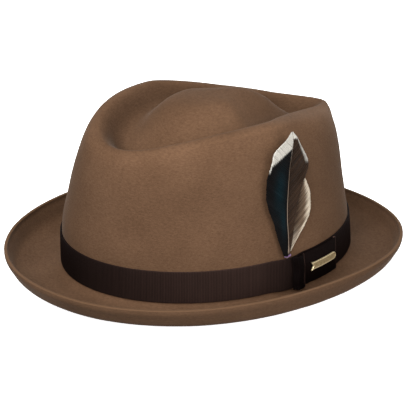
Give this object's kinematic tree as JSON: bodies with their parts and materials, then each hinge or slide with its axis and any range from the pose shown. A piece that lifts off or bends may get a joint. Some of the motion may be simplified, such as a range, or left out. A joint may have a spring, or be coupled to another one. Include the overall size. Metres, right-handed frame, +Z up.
{
  "type": "hat",
  "caption": "Stiff felt hat with a low diamond crown, a curled brim, a ribbon band with a flat bow, a small bar badge and tucked feathers.",
  "frame": {"origin": "on the surface the brim rests on, under the middle of the brim", "axes": "+Z up through the crown, -Y towards the front of the hat, +X towards the wearer's left, where the bow and feathers are"},
  "size_m": [0.238, 0.2764, 0.115],
  "materials": {
    "wool_felt": "soft matt wool felt",
    "grosgrain": "fine ribbed ribbon",
    "brass": "brushed",
    "dark_feather": "glossy barbs with a pale tip",
    "pale_feather": "soft barbs",
    "purple_thread": "wound thread"
  },
  "bodies": {
    "root": {"felt_body": "wool_felt", "hat_band": "grosgrain", "bow_loop": "grosgrain", "bow_knot": "grosgrain", "badge": "brass", "feather_front": "dark_feather", "feather_rear": "pale_feather", "feather_binding": "purple_thread"}
  },
  "joints": []
}
